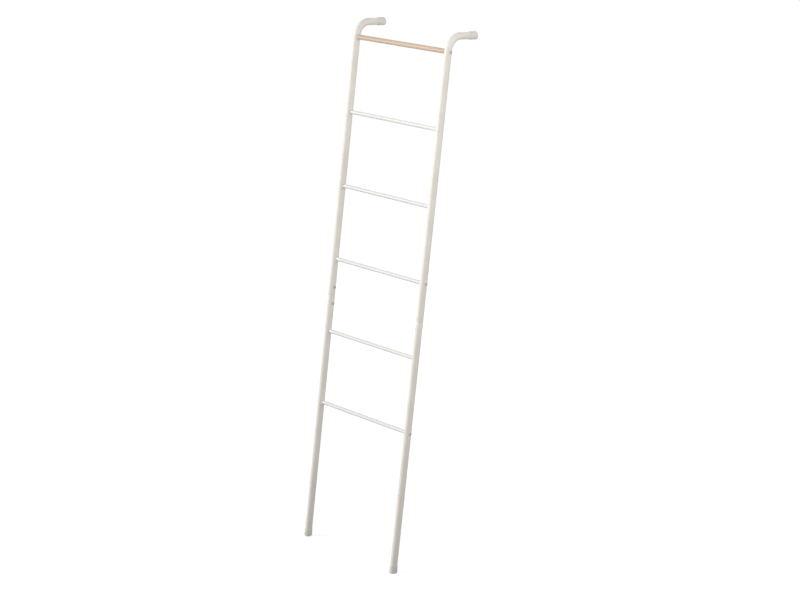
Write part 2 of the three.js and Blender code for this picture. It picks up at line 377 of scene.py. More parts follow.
@dataclass(frozen=True)
class Noise:
    """Fractal noise: features in a metre, octaves, and the weight of the finer octaves.

    The squeeze is a factor on each coordinate. Below 1 it draws the features out along that axis.
    """

    scale: float
    detail: float = 2
    weight: float = 0.5
    squeeze: Triple = (1, 1, 1)


@dataclass(frozen=True)
class Marks:
    """Darker marks on a finish, which is multiplied by a linear shade where a noise is low.

    A mark starts to fade at the first stop of the noise and has gone at the second.
    """

    noise: Noise
    shade: Triple
    stops: Pair
    share: float


class NodeSheet:
    """The nodes of a material or a world, with short calls to add and join them."""

    def __init__(self, owner: bpy.types.Material | bpy.types.World, output: str) -> None:
        """Leave the owner no node but a new output.

        Args:
            owner: The material or the world.
            output: Blender's name for its output node.
        """
        owner.use_nodes = True
        self.tree = owner.node_tree
        self.tree.nodes.clear()
        self.output = self.add(output)

    def add(self, kind: str, inputs: dict | None = None, **settings: object) -> bpy.types.Node:
        """Add a node.

        Args:
            kind: Blender's name for the node.
            inputs: What goes into its sockets, as feed takes it.
            settings: Its other properties.

        Returns:
            The node.
        """
        node = self.tree.nodes.new(kind)
        for key, value in settings.items():
            setattr(node, key, value)
        self.feed(node, inputs or {})
        return node

    def feed(self, node: bpy.types.Node, inputs: dict[str | int, object]) -> None:
        """Set a node's sockets.

        Args:
            node: The node.
            inputs: For each socket, by name or number, a value or the output that is linked to it.
        """
        for key, value in inputs.items():
            if isinstance(value, Socket):
                self.tree.links.new(value, node.inputs[key])
            else:
                node.inputs[key].default_value = value

    def combined(self, operation: str, first: Socket, second: Socket) -> Socket:
        """Combine two values by an operation of Blender's Math node."""
        return self.add("ShaderNodeMath", {0: first, 1: second}, operation=operation).outputs[0]

    def ranged(self, value: Socket, reach: Pair, levels: Pair) -> Socket:
        """Run from one level to the other while the value crosses its reach, and flat beyond."""
        ends = dict(zip(("From Min", "From Max", "To Min", "To Max"), (*reach, *levels)))
        return self.add("ShaderNodeMapRange", {"Value": value, **ends}).outputs["Result"]

    def seen_directly(self) -> Socket:
        """Tell rays that look at a surface from those that carry its light to the rack.

        Returns:
            1 for a ray from the camera, a mirror or a glass, and 0 for any other.
        """
        rays = self.add("ShaderNodeLightPath").outputs
        mirrored = self.combined("MAXIMUM", rays["Is Camera Ray"], rays["Is Glossy Ray"])
        return self.combined("MAXIMUM", mirrored, rays["Is Transmission Ray"])


class Coating(NodeSheet):
    """The nodes of a piece's material, round one Principled shader."""

    def __init__(self, name: str) -> None:
        """Start a material, with its shader joined to its output.

        Args:
            name: Its name.
        """
        self.material = bpy.data.materials.new(name)
        super().__init__(self.material, "ShaderNodeOutputMaterial")
        self.shader = self.add("ShaderNodeBsdfPrincipled")
        self.feed(self.output, {"Surface": self.shader.outputs["BSDF"]})
        self.place = self.add("ShaderNodeTexCoord").outputs["Object"]

    def mapped(self, squeeze: Triple, shift: Triple = (0, 0, 0)) -> Socket:
        """The object's coordinates, with a factor on each and then a shift."""
        inputs = {"Vector": self.place, "Scale": squeeze, "Location": shift}
        return self.add("ShaderNodeMapping", inputs).outputs["Vector"]

    def noise(self, noise: Noise) -> Socket:
        """Read a noise at the object's coordinates.

        Args:
            noise: The noise.

        Returns:
            Its level, from 0 to 1.
        """
        place = self.place if noise.squeeze == (1, 1, 1) else self.mapped(noise.squeeze)
        inputs = {"Scale": noise.scale, "Detail": noise.detail, "Roughness": noise.weight}
        return self.add("ShaderNodeTexNoise", {"Vector": place, **inputs}).outputs["Fac"]

    def ramp(self, factor: Socket, *stops: tuple[float, tuple[float, ...]]) -> Socket:
        """Lay colours along a factor.

        Args:
            factor: What picks the colour.
            stops: Each level with its linear colour, from low to high.

        Returns:
            The colour.
        """
        node = self.add("ShaderNodeValToRGB", {"Fac": factor})
        elements = node.color_ramp.elements
        while len(elements) < len(stops):
            elements.new(1.0)
        for element, (level, colour) in zip(elements, stops):
            element.position = level
            element.color = colour
        return node.outputs["Color"]

    def marked(self, tone: Socket, marks: Marks) -> tuple[Socket, Socket]:
        """Darken a colour by marks.

        Args:
            tone: The colour.
            marks: The marks.

        Returns:
            The darkened colour, and the level of the marks' noise.
        """
        noise, (low, high) = self.noise(marks.noise), marks.stops
        tint = self.ramp(noise, (low, (*marks.shade, 1.0)), (high, WHITE))
        inputs = {"Factor": marks.share, 6: tone, 7: tint}
        mix = self.add("ShaderNodeMix", inputs, data_type="RGBA", blend_type="MULTIPLY")
        return mix.outputs[2], noise

    def finish(
        self, tone: Socket, dulling: Socket, gloss: Pair, height: Socket, relief: Pair
    ) -> None:
        """Give the shader its colour, its roughness and its bumps.

        Args:
            tone: The colour.
            dulling: The noise that the roughness follows.
            gloss: Roughness at the ends of that noise's middle half.
            height: The noise that raises the bumps.
            relief: Their height in metres, and the share of it that shows.
        """
        inputs = {"Height": height, **dict(zip(("Distance", "Strength"), relief))}
        normal = self.add("ShaderNodeBump", inputs).outputs["Normal"]
        roughness = self.ranged(dulling, NOISE_MIDDLE, gloss)
        self.feed(self.shader, {"Base Color": tone, "Roughness": roughness, "Normal": normal})


@dataclass(frozen=True)
class Mottled:
    """Two tones that drift into each other under a fine grain, which most finishes here are.

    Each tone stands with its level of the drift, and they may have specks. The grain raises the
    bumps by the relief. The roughness follows the grain or else the drift. What is even is the
    same all over the piece, by the shader's sockets.
    """

    tones: Tones
    drift: Noise
    grain: Noise
    grain_dulls: bool
    gloss: Pair
    relief: Pair
    specks: Marks | None = None
    even: Settings = ()

    def material(self, name: str) -> bpy.types.Material:
        """Make the material.

        Args:
            name: Its name.

        Returns:
            The material.
        """
        sheet = Coating(name)
        drift, grain = sheet.noise(self.drift), sheet.noise(self.grain)
        tone = sheet.ramp(drift, *((level, linear(colour)) for level, colour in self.tones))
        if self.specks:
            tone, _ = sheet.marked(tone, self.specks)
        dulling = grain if self.grain_dulls else drift
        sheet.finish(tone, dulling, self.gloss, grain, self.relief)
        sheet.feed(sheet.shader, dict(self.even))
        return sheet.material


@dataclass(frozen=True)
class PowderPaint(Mottled):
    """Baked powder paint: warm off-white, softly glossy, with an orange peel and faint specks."""

    tones: Tones = ((0.35, (223, 217, 208)), (0.65, (229, 224, 216)))
    drift: Noise = Noise(14, 4)
    grain: Noise = Noise(750, 3, 0.55)
    grain_dulls: bool = False
    gloss: Pair = (0.38, 0.48)
    relief: Pair = (0.05 * MM, 0.35)
    specks: Marks = Marks(Noise(2250, 1), (0.90, 0.90, 0.90), (0.3, 0.5), 0.3)


@dataclass(frozen=True)
class ZincPlate(Mottled):
    """Zinc-plated steel: a satin grey that drifts from bluish to yellowish, as plating does."""

    tones: Tones = ((0.35, (160, 161, 163)), (0.65, (168, 164, 157)))
    drift: Noise = Noise(220, 3)
    grain: Noise = Noise(2600, 2, 0.6)
    grain_dulls: bool = True
    gloss: Pair = (0.27, 0.42)
    relief: Pair = (0.01 * MM, 0.25)
    even: Settings = (("Metallic", 0.92),)


@dataclass(frozen=True)
class TurnedBrass(Mottled):
    """Turned brass: fine rings of the tool round the insert's axis, and a slight tarnish."""

    tones: Tones = ((0.4, (205, 176, 104)), (0.7, (178, 146, 82)))
    drift: Noise = Noise(180, 4)
    grain: Noise = Noise(5000, 1, squeeze=(1, 0.02, 0.02))
    grain_dulls: bool = True
    gloss: Pair = (0.26, 0.4)
    relief: Pair = (0.01 * MM, 0.3)
    even: Settings = (("Metallic", 0.95),)


@dataclass(frozen=True)
class MouldedCap(Mottled):
    """Soft moulded plastic: matt, faintly translucent grey-white, with slightly darker scuffs."""

    tones: Tones = ((0.3, (211, 208, 200)), (0.42, (219, 216, 208)))
    drift: Noise = Noise(420, 4, 0.6, (1, 1, 0.35))
    grain: Noise = Noise(1500)
    grain_dulls: bool = False
    gloss: Pair = (0.6, 0.7)
    relief: Pair = (0.03 * MM, 0.3)
    even: Settings = (
        ("Subsurface Weight", 0.12),
        ("Subsurface Radius", (1.0, 0.95, 0.85)),
        ("Subsurface Scale", 0.8 * MM),
    )


@dataclass(frozen=True)
class PaleWood:
    """Pale clear-finished hardwood, its rings cut lengthwise and its fibres along X.

    The tree's pith is given from the centre of the bar. The rings run from spring's early wood to
    summer's late wood, half and half at the middle level. Their squeeze draws them out along X,
    and their waver, by the wave's sockets, takes them off the circle. Streaks are darker fibre.
    """

    centre: Triple
    pith: Pair = (0.055, -0.045)
    ring_pitch: float = 2.6 * MM
    ring_squeeze: float = 0.1
    ring_waver: Settings = (
        ("Distortion", 5.0),
        ("Detail", 3.0),
        ("Detail Scale", 0.25),
        ("Detail Roughness", 0.6),
    )
    early: Colour = (211, 191, 171)
    late: Colour = (189, 165, 142)
    middle: float = 0.6
    streaks: Marks = Marks(
        Noise(900, 3, 0.6, (0.012, 1, 1)), (0.84, 0.80, 0.76), (0.35, 0.6), 0.55
    )
    pores: Marks = Marks(
        Noise(1980, 1, squeeze=(0.05, 1, 1)), (0.66, 0.56, 0.47), (0.26, 0.34), 0.6
    )
    gloss: Pair = (0.46, 0.6)
    relief: Pair = (0.04 * MM, 0.3)

    def material(self, name: str) -> bpy.types.Material:
        """Make the material, whose wave has a ring in every pi / (10 scale) metres.

        Args:
            name: Its name.

        Returns:
            The material.
        """
        sheet = Coating(name)
        shift = (0.0, self.pith[0] - self.centre[1], self.pith[1] - self.centre[2])
        inputs = {
            "Vector": sheet.mapped((self.ring_squeeze, 1, 1), shift),
            "Scale": math.pi / (10 * self.ring_pitch),
            **dict(self.ring_waver),
        }
        rings = sheet.add("ShaderNodeTexWave", inputs, wave_type="RINGS", rings_direction="X")
        mean = tuple(round((a + b) / 2) for a, b in zip(self.early, self.late))
        stops = zip((0.0, self.middle, 1.0), map(linear, (self.early, mean, self.late)))
        tone = sheet.ramp(rings.outputs["Fac"], *stops)
        tone, fibres = sheet.marked(tone, self.streaks)
        tone, _ = sheet.marked(tone, self.pores)
        sheet.finish(tone, fibres, self.gloss, fibres, self.relief)
        return sheet.material


# ---- Sub-assemblies


@dataclass
class Workshop:
    """What every sub-assembly needs to finish a piece: the sizes and the materials."""

    layout: Layout
    materials: dict[Part, bpy.types.Material]

    def deliver(self, shell: Shell, node: str, form: str, part: Part) -> None:
        """Turn a shell into a finished piece that stands for a node.

        Args:
            shell: The closed surface.
            node: The node that it stands for.
            form: What the piece is, which ends its name.
            part: Its kind.
        """
        name = f"{node}_{form}"
        made = shell.to_object(name, self.layout)
        made.data.materials.append(self.materials[part])
        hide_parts(node)
        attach(made, BODY)
        low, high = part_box(node)
        corners = np.array(made.bound_box)
        off = max(np.abs(corners.min(0) - low).max(), np.abs(corners.max(0) - high).max()) / MM
        log.info("%s: %d faces, box within %.2f mm of %s", name, len(made.data.polygons), off, node)

    def dress(self, node: str, part: Part) -> None:
        """Give a node that stays the material of its kind.

        Args:
            node: The node.
            part: Its kind.
        """
        for material_slot in frame["nodes"][node].material_slots:
            material_slot.material = self.materials[part]
        log.info("%s: kept, in %s", node, part.slot)


@dataclass(frozen=True)
class Opening:
    """A round hole through one wall of a rail, at s along it, facing the X of that sign.

    The patch of wall round it is given by half its length and half its width in columns.
    """

    s: float
    facing: int
    radius: float
    half_length: float
    half_columns: int


@dataclass
class SideRail:
    """One side of the rack: two tubes, and the joint inside them."""

    shop: Workshop
    side: Side
    sides: int = 96
    edge: float = 0.25 * MM
    edge_steps: int = 4
    hole_lip: float = 0.3 * MM
    lip_steps: int = 4
    patch_steps: int = 4
    patch_rows: int = 16
    bend_steps: int = 48
    row_pitch: float = 30 * MM
    row_margin: float = 2 * MM
    rung_patch: tuple[float, int] = (8 * MM, 13)
    screw_patch: tuple[float, int] = (4 * MM, 6)

    def build(self) -> None:
        """Build both tubes and dress the joint between them."""
        layout, label = self.shop.layout, self.side.label
        inset, gap = layout.cap_sole + layout.fit_gap, layout.fit_gap / 2
        seam, end = layout.seam_u, layout.wall_s - inset
        lower = self.tube(inset, seam - gap, math.tan(layout.lean), 0.0)
        upper = self.tube(seam + gap, end, 0.0, math.tan(layout.hook_drop))
        for half, shell in (("lower", lower), ("upper", upper)):
            self.shop.deliver(shell, f"{label}_{half}_rail", "tube", Part.RAIL)
            self.shop.dress(f"{label}_joint_nut_{half}", Part.STEEL)
        self.shop.dress(f"{label}_joint_sleeve", Part.STEEL)

    def openings(self) -> list[Opening]:
        """List this rail's holes: rungs and joint screws face the rungs, bar screws face away.

        Returns:
            The holes.
        """
        layout, away = self.shop.layout, self.side.value
        rung, screw = layout.rung_radius + layout.fit_gap, layout.screw_hole_radius
        length, columns = self.rung_patch[0], self.screw_patch[1]
        made = [Opening(layout.bar_u, facing, screw, *self.screw_patch) for facing in (-1, 1)]
        for number in range(1, layout.rung_count + 1):
            made.append(Opening(layout.rung_u(number), -away, rung, *self.rung_patch))
        for number in layout.bolted_rungs:
            made.append(Opening(layout.rung_u(number), away, screw, length, columns))
        for sign in (-1, 1):
            place = layout.seam_u + sign * layout.joint_screw_offset
            made.append(Opening(place, -away, screw, *self.screw_patch))
        return made

    def rings(self, s: Array, radius: float | Array, slope: float | Array) -> Array:
        """Work out rings: C(s) + r cos(a) X + r sin(a) (N(s) + slope T(s)), a once round.

        Args:
            s: Distance of each ring along the rail.
            radius: Its radius.
            slope: How far its plane leans along the rail.

        Returns:
            The points, as rings x sides x 3.
        """
        s, radius, slope = np.broadcast_arrays(s, radius, slope)
        angle = full_turn(self.sides)
        across, lift = radius[:, None] * np.cos(angle), radius[:, None] * np.sin(angle)
        centre, along, normal = self.shop.layout.path.frames(s)
        tilted = normal + slope[:, None] * along
        points = centre[:, None, :] + lift[..., None] * tilted[:, None, :]
        points[..., 0] += across + self.side.value * self.shop.layout.rail_x
        return points

    def on_wall(
        self, opening: Opening, place: Array, radius: float, depth: float | Array = 0.0
    ) -> Array:
        """Work out points by a hole: C(s) + w N(s) + facing (sqrt(radius^2 - w^2) - depth) X.

        Args:
            opening: The hole.
            place: Distances from its axis, first across the rail (w) and then along it.
            radius: Radius of the wall.
            depth: Depth below that wall's surface.

        Returns:
            The points, as rings x points of a ring x 3.
        """
        w, rise = place
        centre, _, normal = self.shop.layout.path.frames(opening.s + rise)
        out = opening.facing * (np.sqrt(np.maximum(radius**2 - w**2, 0)) - depth)
        points = centre + w[..., None] * normal
        points[..., 0] += out + self.side.value * self.shop.layout.rail_x
        return points

    def hole(self, opening: Opening, rows: Array, low: int, high: int) -> Array:
        """Work out rings from the outer wall, over a rounded lip and through, to the inner wall.

        Each ring has the points of the patch's rim, drawn in along straight lines towards the
        hole. The lip has the radius r + e (1 - sin a) at the depth e (1 - cos a).

        Args:
            opening: The hole.
            rows: Distances of the wall's rings along the rail.
            low: Index of the ring at the lower edge of the patch.
            high: Index of the ring at its upper edge.

        Returns:
            The points, as rings x points of the rim x 3.
        """
        outside, inside = self.shop.layout.rail_radius, self.shop.layout.rail_bore
        middle = 0 if opening.facing > 0 else self.sides // 2
        left, right = middle - opening.half_columns, middle + opening.half_columns
        up, columns = np.arange(low, high), np.arange(left, right)
        at_row = [np.full(len(columns), low), up, np.full(len(columns), high), up[::-1] + 1]
        at_column = [columns, np.full(len(up), right), columns[::-1] + 1, np.full(len(up), left)]
        sine = np.sin(2 * math.pi * np.concatenate(at_column) / self.sides)
        rise = rows[np.concatenate(at_row)] - opening.s
        rim_out = np.stack([outside * sine, rise])[:, None]
        rim_in = np.stack([inside * sine, rise])[:, None]
        angle = np.arctan2(rim_out[1], rim_out[0])
        circle = np.stack([np.cos(angle), np.sin(angle)])

        share = np.linspace(0, 1, self.patch_steps + 1)[:, None]
        reach, depth = rounded(self.hole_lip, self.lip_steps)
        mouth, bore = (opening.radius + self.hole_lip) * circle, opening.radius * circle
        lip = (opening.radius + reach[1:, None]) * circle
        return np.concatenate(
            [
                self.on_wall(opening, rim_out + share * (mouth - rim_out), outside),
                self.on_wall(opening, lip, outside, depth[1:, None]),
                self.on_wall(opening, bore + share * (rim_in - bore), inside),
            ]
        )

    def wall_rows(self, start: float, end: float, openings: list[Opening]) -> Array:
        """Space a wall's rings: close in the bend and round the holes, sparse elsewhere.

        Args:
            start: Distance of the first ring.
            end: Distance of the last ring.
            openings: The holes between them.

        Returns:
            The distances, in order.
        """
        path = self.shop.layout.path
        bend = np.linspace(path.bend_start, path.bend_end, self.bend_steps + 1)
        plain = np.arange(start + self.row_pitch, end - self.row_pitch, self.row_pitch)
        straight = (plain < path.bend_start) | (plain > path.bend_end)
        plain = np.concatenate([plain[straight], bend])
        stays = (plain > start + self.row_margin) & (plain < end - self.row_margin)
        near = []
        for hole in openings:
            stays &= np.abs(plain - hole.s) > hole.half_length + self.row_margin / 2
            near.append(np.linspace(-1, 1, self.patch_rows + 1) * hole.half_length + hole.s)
        return np.unique(np.concatenate([[start, end], plain[stays], *near]))

    def tube(self, start: float, end: float, start_slope: float, end_slope: float) -> Shell:
        """Make one tube with its bore, its holes and its rounded ends.

        Args:
            start: Distance of its lower end along the rail.
            end: Distance of its upper end.
            start_slope: How far the lower end is cut aslant.
            end_slope: How far the upper end is cut aslant.

        Returns:
            The closed surface.
        """
        layout = self.shop.layout
        openings = [hole for hole in self.openings() if start < hole.s < end]
        rows = self.wall_rows(start + self.edge, end - self.edge, openings)
        slope = np.zeros_like(rows)
        slope[0], slope[-1] = start_slope, end_slope
        keep = np.ones((len(rows) - 1, self.sides), bool)
        shell = Shell()
        for hole in openings:
            ends = (hole.s - hole.half_length, hole.s + hole.half_length)
            low, high = (int(np.abs(rows - place).argmin()) for place in ends)
            middle = 0 if hole.facing > 0 else self.sides // 2
            cells = np.arange(middle - hole.half_columns, middle + hole.half_columns)
            keep[low:high, cells % self.sides] = False
            shell.add(self.hole(hole, rows, low, high))
        shell.add(self.rings(rows, layout.rail_radius, slope), keep)
        shell.add(self.rings(rows, layout.rail_bore, slope), keep, flip=True)

        short, inset = rounded(self.edge, self.edge_steps)
        radius = np.append(layout.rail_radius - inset, [layout.rail_bore, layout.rail_bore])
        short = np.append(short, [0.0, self.edge])
        shell.add(self.rings(start + short, radius, start_slope), flip=True)
        return shell.add(self.rings(end - short, radius, end_slope))


@dataclass
class EndCap:
    """A moulded cap over the end of a rail: a mitred sole with a rounded edge, and a soft rim."""

    shop: Workshop
    height: float
    sides: int = 96
    wall: float = 0.8 * MM
    sole_edge: float = 0.5 * MM
    rim_edge: float = 0.35 * MM
    edge_steps: int = 6
    rim_steps: int = 5

    def profile(self) -> tuple[Array, Array]:
        """Work out each ring, from the middle of the sole round to that of the bore's floor.

        Each edge is rounded: e (1 - sin a) in and e (1 - cos a) up, or the other way at the rim.

        Returns:
            The radii and the heights.
        """
        bore = self.shop.layout.rail_radius + self.shop.layout.fit_gap
        radius, floor = bore + self.wall, self.shop.layout.cap_sole
        sole_in, sole_up = rounded(self.sole_edge, self.edge_steps)
        rim_down, rim_in = rounded(self.rim_edge, self.rim_steps)
        radii = ([0.0, radius / 2], radius - sole_in, radius - rim_in, [bore, bore, bore / 2, 0.0])
        heights = ([0.0, 0.0], sole_up, self.height - rim_down, [self.height, floor, floor, floor])
        return np.concatenate(radii), np.concatenate(heights)

    def build(self, node: str, origin: Array, across: Array, up: Array, slope: float) -> None:
        """Build a cap: origin + r cos(a) X + r sin(a) across + (z + slope r sin(a) f) up.

        The share f of the mitre is 1 at the sole and fades to 0 halfway up the cap.

        Args:
            node: The node that it stands for.
            origin: Middle of its sole, in the leaning frame.
            across: Direction across the rail in which the mitre rises.
            up: Direction from the sole to the rim.
            slope: Rise of the mitre.
        """
        radius, height = self.profile()
        angle = full_turn(self.sides)
        side_x, side_w = radius[:, None] * np.cos(angle), radius[:, None] * np.sin(angle)
        halfway = self.height / 2
        share = np.clip((halfway - height) / (halfway - self.shop.layout.cap_sole), 0, 1)
        rise = height[:, None] + slope * side_w * share[:, None]
        grid = origin + side_x[..., None] * X_AXIS + side_w[..., None] * across
        shell = Shell().add(grid + rise[..., None] * up)
        self.shop.deliver(shell, node, "moulding", Part.CAP)


@dataclass
class Caps:
    """The four caps: one under each rail and one on each hook."""

    shop: Workshop
    foot_height: float = 21 * MM
    wall_height: float = 26 * MM

    def build(self) -> None:
        """Build every cap."""
        layout = self.shop.layout
        centre, along, normal = layout.path.frames(np.array(layout.wall_s))
        foot, wall = EndCap(self.shop, self.foot_height), EndCap(self.shop, self.wall_height)
        lean, drop = math.tan(layout.lean), math.tan(layout.hook_drop)
        for side in Side:
            shift = side.value * layout.rail_x * X_AXIS
            foot.build(f"{side.label}_foot_cap", shift, Y_AXIS, Z_AXIS, lean)
            wall.build(f"{side.label}_wall_cap", shift + centre, -normal, -along, drop)


@dataclass
class WoodenBar:
    """The round wooden bar, with saddled ends that hold threaded inserts."""

    shop: Workshop
    sides: int = 96
    radius: float = 7.5 * MM
    edge: float = 0.4 * MM
    edge_steps: int = 4
    face_steps: int = 8
    length_steps: int = 24
    insert_hole_radius: float = 4.3 * MM
    insert_hole_depth: float = 20 * MM

    def saddle(self, y: Array, u: Array) -> Array:
        """Work out the distance from the middle to the saddle: rail_x - sqrt(seat^2 - (y - c)^2).

        At a height h above the start of the bend, the rail's centre line has moved by
        c = R - sqrt(R^2 - h^2).

        Args:
            y: Distance from the bar's axis towards the wall.
            u: Height along the rail.

        Returns:
            The distances, of the same shape.
        """
        layout = self.shop.layout
        above = np.maximum(u - layout.path.bend_start, 0)
        moved = layout.bend_radius - np.sqrt(layout.bend_radius**2 - above**2)
        return layout.rail_x - np.sqrt(layout.head_seat**2 - (y - moved) ** 2)

    def build(self) -> None:
        """Build the bar as one grid of rings, from the floor of one end's hole to the other's."""
        layout, bar_u = self.shop.layout, self.shop.layout.bar_u
        edge_in, edge_back = rounded(self.edge, self.edge_steps)
        face = np.linspace(self.insert_hole_radius, self.radius - self.edge, self.face_steps + 1)
        end_radius = np.append(face[:-1], self.radius - edge_in)
        inset = np.append(np.zeros(self.face_steps), edge_back)
        end = rings_on_x(np.zeros((1, 1)), end_radius, bar_u, self.sides)
        end[..., 0] = self.saddle(end[..., 1], end[..., 2]) - inset[:, None]

        side_x = np.linspace(-1, 1, self.length_steps + 1)[1:-1, None] * end[-1, :, 0]
        side = rings_on_x(side_x, np.full(len(side_x), self.radius), bar_u, self.sides)
        floor_x = np.full((2, 1), layout.rail_x - layout.head_seat - self.insert_hole_depth)
        hole = rings_on_x(floor_x, np.array([0.0, self.insert_hole_radius]), bar_u, self.sides)

        right = np.concatenate([hole, end])
        left = right * np.array([-1.0, 1.0, 1.0])
        shell = Shell().add(np.concatenate([left, side, right[::-1]]))
        self.shop.deliver(shell, "wooden_top_bar", "dowel", Part.BAR)
        for rail in Side:
            self.shop.dress(f"{rail.label}_bar_insert", Part.INSERT)


@dataclass
class Rungs:
    """The five thin tubular rungs, and the plugs in the bolted ones."""

    shop: Workshop
    sides: int = 72
    wall: float = 1 * MM
    edge: float = 0.25 * MM
    edge_steps: int = 4
    length_steps: int = 16

    def build(self) -> None:
        """Build every rung and dress its plugs."""
        for number in range(1, self.shop.layout.rung_count + 1):
            self.shop.deliver(self.tube(number), f"rung_{number}", "tube", Part.RUNG)
            if number in self.shop.layout.bolted_rungs:
                for side in Side:
                    self.shop.dress(f"{side.label}_rung_{number}_plug", Part.STEEL)

    def tube(self, number: int) -> Shell:
        """Make one rung: a closed profile of x and radius, carried once round the rung's axis.

        Its end lies where its edge meets the rail's far wall: rail_x + sqrt((bore - gap)^2 - r^2).

        Args:
            number: The rung, counted from the top.

        Returns:
            The closed surface.
        """
        layout = self.shop.layout
        radius, bore = layout.rung_radius, layout.rung_radius - self.wall
        end = layout.rail_x + math.sqrt((layout.rail_bore - layout.fit_gap) ** 2 - radius**2)
        edge_in, edge_back = rounded(self.edge, self.edge_steps)
        end_radius, end_x = radius - edge_in, end - edge_back
        side_x = np.linspace(-1, 1, self.length_steps + 1)[1:-1] * end_x[-1]
        side_radius = np.full(len(side_x), radius)
        x = np.concatenate([-end_x, side_x, end_x[::-1], [end, -end]])
        radii = np.concatenate([end_radius, side_radius, end_radius[::-1], [bore, bore]])
        grid = rings_on_x(x[:, None], radii, layout.rung_u(number), self.sides)
        return Shell().add(grid, close_rows=True)


@dataclass
class ButtonScrew:
    """A button-head screw with a hexagon socket and a rolled thread."""

    shop: Workshop
    length: float
    sides: int = 48
    shank_radius: float = 2.5 * MM
    head_radius: float = 4.75 * MM
    head_height: float = 2.69 * MM
    head_rim: float = 0.6 * MM
    socket_across_flats: float = 3 * MM
    socket_depth: float = 1.6 * MM
    socket_cone: float = 0.3 * MM
    socket_chamfer: float = 0.12 * MM
    head_edge: float = 0.2 * MM
    edge_steps: int = 4
    dome_steps: int = 14
    thread_pitch: float = 0.8 * MM
    thread_depth: float = 0.45 * MM
    rows_in_turn: int = 6
    turns_to_thread: float = 0.5
    tip_chamfer: float = 0.6 * MM

    def hexagon(self, angle: Array) -> Array:
        """Radius of the socket: half the flats' width over cos(angle from a flat's middle)."""
        sixth = math.pi / 3
        return self.socket_across_flats / 2 / np.cos(np.mod(angle + sixth / 2, sixth) - sixth / 2)

    def shank(self, angle: Array) -> tuple[Array, Array]:
        """Work out the rings of the shank, from the tip to the head.

        The radius is R - depth |2 f - 1|, with f the fraction of z / pitch - a / 2 pi, so the
        groove climbs by one pitch in a turn. The depth fades out below the head, and the tip
        narrows within its chamfer.

        Args:
            angle: The angles round the screw.

        Returns:
            The radii and the heights, each as rings x sides.
        """
        count = round(self.length / self.thread_pitch * self.rows_in_turn)
        height = np.linspace(-self.length, 0, count + 1)[:, None]
        phase = np.mod(height / self.thread_pitch - angle / (2 * math.pi), 1)
        fade = np.clip(-height / self.thread_pitch - self.turns_to_thread, 0, 1)
        radius = self.shank_radius - self.thread_depth * np.abs(2 * phase - 1) * fade
        narrow = self.shank_radius - self.tip_chamfer + (height + self.length)
        return np.minimum(radius, narrow), np.broadcast_to(height, radius.shape)

    def head(self, angle: Array) -> tuple[Array, Array]:
        """Work out the rings of the head, from its seat over the dome into the socket.

        Over the dome, z = rim + (height - rim) sqrt(1 - (r / R)^2), while r runs from R to the
        hexagon.

        Args:
            angle: The angles round the screw.

        Returns:
            The radii and the heights, each as rings x sides.
        """
        flat, hexagon = np.ones_like(angle), self.hexagon(angle)
        seat_in, seat_up = rounded(self.head_edge, self.edge_steps)
        share = 1 - np.cos(quarter_turn(self.dome_steps))[:, None]
        dome_r = self.head_radius + share * (hexagon + self.socket_chamfer - self.head_radius)
        dome = np.sqrt(np.maximum(1 - (dome_r / self.head_radius) ** 2, 0))
        dome_z = self.head_rim + (self.head_height - self.head_rim) * dome
        lip, floor = dome_z[-1] - self.socket_chamfer, self.head_height - self.socket_depth
        socket_r = np.stack([hexagon, hexagon, 0 * flat])
        socket_z = np.stack([lip, floor * flat, (floor - self.socket_cone) * flat])
        radii = ((self.head_radius - seat_in[:, None]) * flat, dome_r, socket_r)
        return np.concatenate(radii), np.concatenate([seat_up[:, None] * flat, dome_z, socket_z])

    def build(self, node: str, x: float, facing: int, u: float) -> None:
        """Build a screw along X: (x + facing z, r sin(a), u - facing r cos(a)).

        Args:
            node: The node that it stands for.
            x: X of the seat of its head.
            facing: Sign of the X that its head faces.
            u: Its height along the rail.
        """
        angle = full_turn(self.sides)
        shank_r, shank_z = self.shank(angle)
        head_r, head_z = self.head(angle)
        tip = np.zeros((1, self.sides))
        radius = np.concatenate([tip, shank_r, head_r])
        height = np.concatenate([tip - self.length, shank_z, head_z])
        y, down = radius * np.sin(angle), facing * radius * np.cos(angle)
        shell = Shell().add(np.stack([x + facing * height, y, u - down], axis=-1))
        self.shop.deliver(shell, node, "button", Part.STEEL)


@dataclass
class Screws:
    """The ten screws: two joint screws, a bar screw and two rung screws in each rail."""

    shop: Workshop
    joint_length: float = 10 * MM
    rung_length: float = 16 * MM
    bar_length: float = 40 * MM

    def build(self) -> None:
        """Build every screw."""
        layout = self.shop.layout
        for side in Side:
            away = side.value
            screws = [("bar_screw", self.bar_length, away, layout.bar_u)]
            for number in layout.bolted_rungs:
                u = layout.rung_u(number)
                screws.append((f"rung_{number}_screw", self.rung_length, away, u))
            for half, sign in (("upper", 1), ("lower", -1)):
                u = layout.seam_u + sign * layout.joint_screw_offset
                screws.append((f"joint_screw_{half}", self.joint_length, -away, u))
            for name, length, facing, u in screws:
                seat = away * layout.rail_x + facing * layout.head_seat
                ButtonScrew(self.shop, length).build(f"{side.label}_{name}", seat, facing, u)


# ---- Studio


def lamp(name: str, kind: str, place: Triple, way: Triple, **settings: object) -> None:
    """Make a lamp.

    Args:
        name: Its name.
        kind: Blender's name for its kind.
        place: Where it stands.
        way: Direction in which it shines.
        settings: Its other properties.
    """
    data = bpy.data.lights.new(name, kind)
    for key, value in settings.items():
        setattr(data, key, value)
    made = placed(name, data)
    made.location = place
    made.rotation_euler = Vector(way).to_track_quat("-Z", "Y").to_euler()


